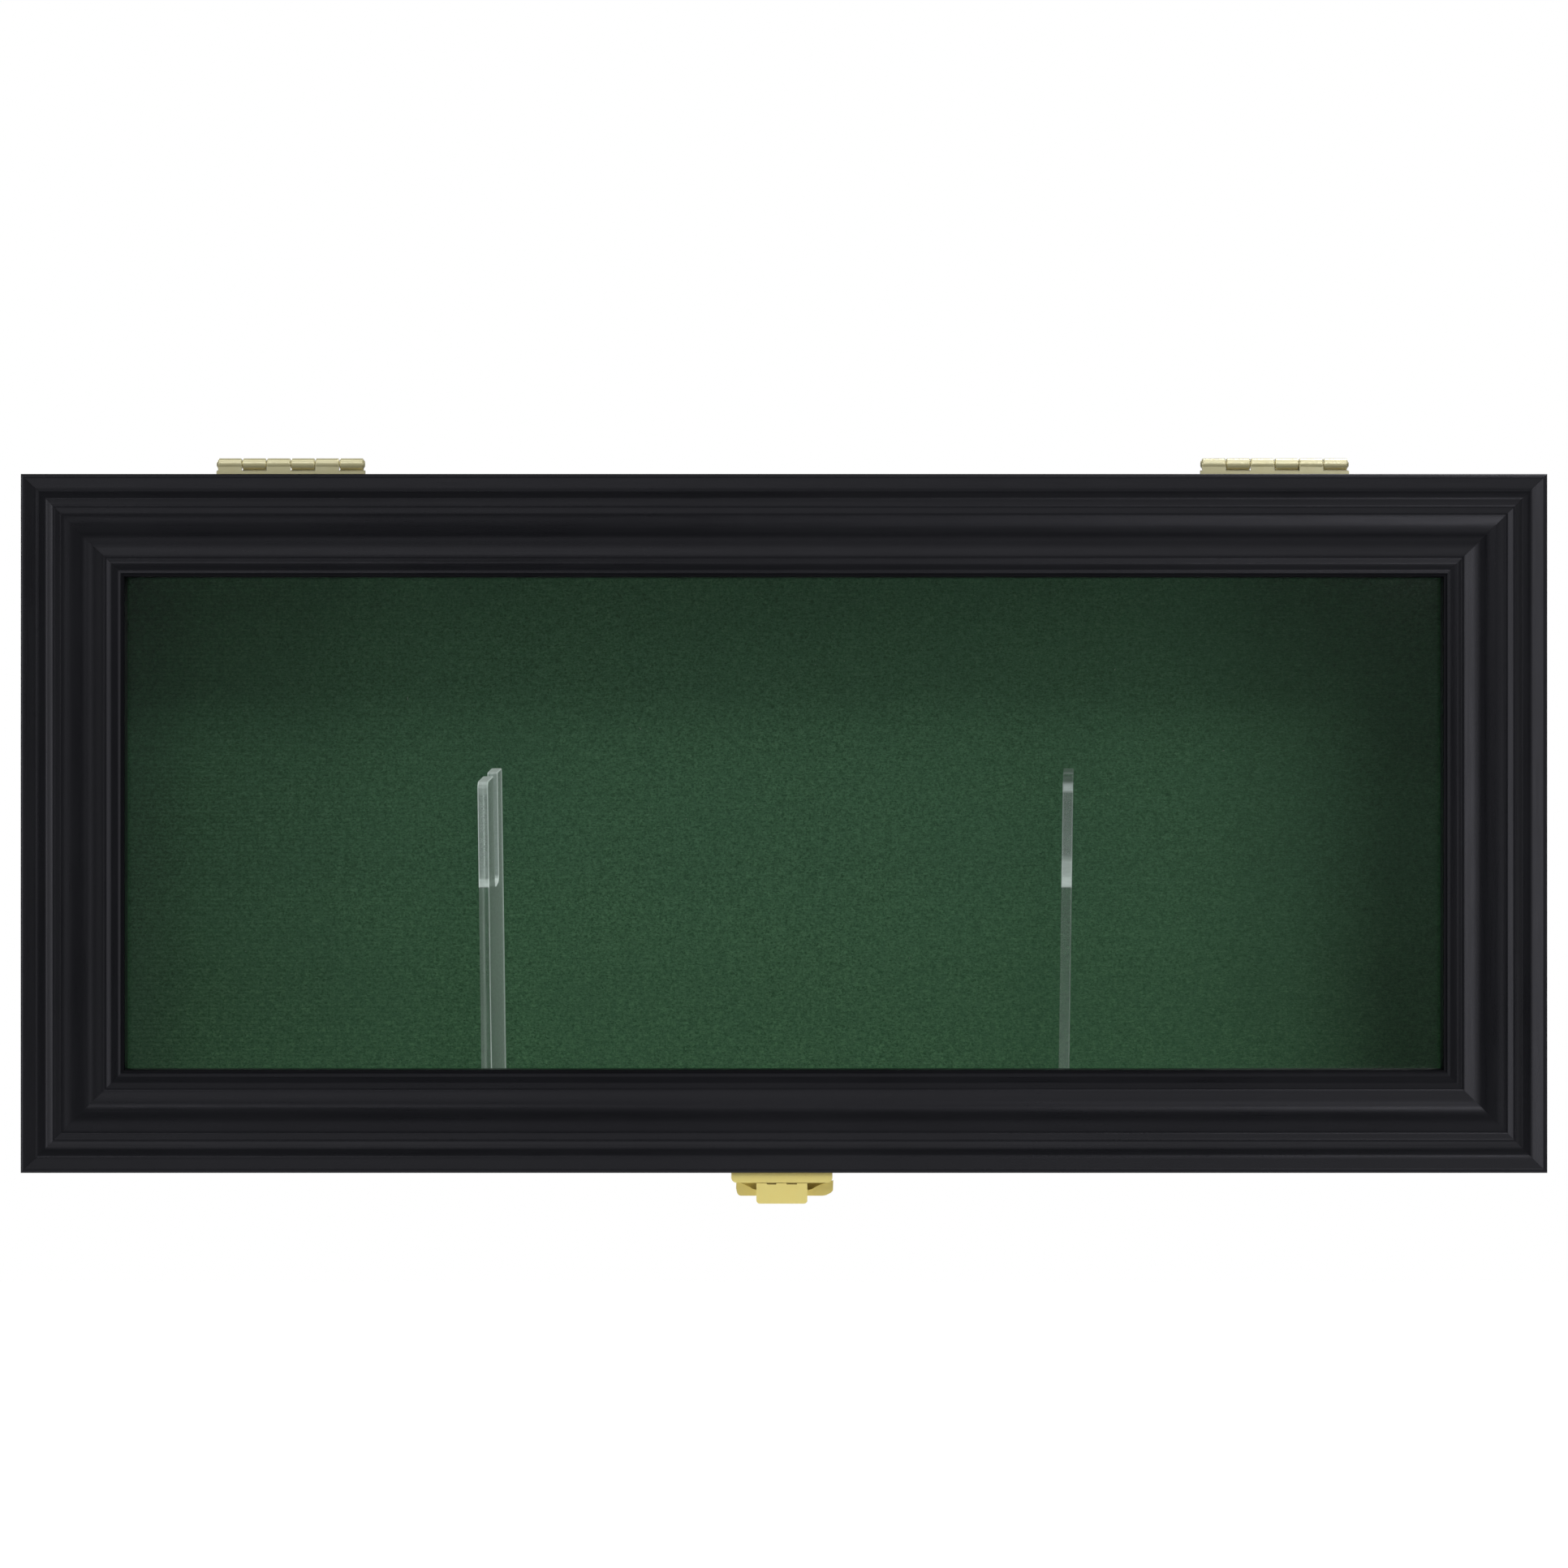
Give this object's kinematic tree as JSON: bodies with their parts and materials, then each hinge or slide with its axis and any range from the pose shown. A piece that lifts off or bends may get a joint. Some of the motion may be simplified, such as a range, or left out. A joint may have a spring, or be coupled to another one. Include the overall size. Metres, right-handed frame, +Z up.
{
  "type": "knife display case",
  "caption": "Wall-hung shallow display case for a pocket knife: black moulded top-hinged door with clear pane, green felt lining, clear notched stands, brass hinges and latch.",
  "frame": {"origin": "on the wall plane, midway between the entry holes of the two keyhole plates in the back", "axes": "+X to the right along the case as it is looked at, +Y towards the wall, +Z up"},
  "size_m": [0.356, 0.0905, 0.1747],
  "materials": {
    "black_lacquer": "satin black lacquer over wood",
    "pane_glass": "clear polished",
    "clear_acrylic": "clear, polished faces and saw-cut edges",
    "pale_brass": "bright pale brass plating",
    "latch_brass": "satin yellow brass",
    "green_felt": "short-pile felt",
    "fibreboard": "bare pressed board",
    "zinc_steel": "zinc plated"
  },
  "bodies": {
    "case": {"case_top_board": "black_lacquer", "case_bottom_board": "black_lacquer", "case_left_board": "black_lacquer", "case_right_board": "black_lacquer", "case_corner_brads": "zinc_steel", "back_board": "fibreboard", "back_board_screws": "zinc_steel", "backing_pad": "fibreboard", "felt_back": "green_felt", "felt_top": "green_felt", "felt_bottom": "green_felt", "felt_left": "green_felt", "felt_right": "green_felt", "stand_left": "clear_acrylic", "stand_right": "clear_acrylic", "hinge_left_case_leaf": "pale_brass", "hinge_right_case_leaf": "pale_brass", "hinge_case_screws": "pale_brass", "hinge_left_pin": "pale_brass", "hinge_right_pin": "pale_brass", "latch_base": "latch_brass", "latch_base_screws": "latch_brass", "latch_pin": "latch_brass", "keyhole_plate_left": "zinc_steel", "keyhole_plate_right": "zinc_steel", "keyhole_screws": "zinc_steel"},
    "door": {"door_top_rail": "black_lacquer", "door_bottom_rail": "black_lacquer", "door_left_stile": "black_lacquer", "door_right_stile": "black_lacquer", "door_pane": "pane_glass", "pane_stop_top": "black_lacquer", "pane_stop_bottom": "black_lacquer", "pane_stop_left": "black_lacquer", "pane_stop_right": "black_lacquer", "pane_stop_brads": "zinc_steel", "door_v_nails": "zinc_steel", "hinge_left_door_leaf": "pale_brass", "hinge_right_door_leaf": "pale_brass", "hinge_door_screws": "pale_brass", "latch_strike_plate": "latch_brass", "latch_strike_screws": "latch_brass"},
    "lever": {"latch_lever": "latch_brass"}
  },
  "joints": [
    {"name": "door_hinge", "type": "hinge", "parent": "case", "child": "door", "pos_m": [0, -0.07225, 0.03315], "axis": [-1, 0, 0], "range_deg": [0, 198]},
    {"name": "latch_turn", "type": "hinge", "parent": "case", "child": "lever", "pos_m": [-0.0005, -0.06375, -0.1353], "axis": [1, 0, 0], "range_deg": [0, 50]}
  ]
}
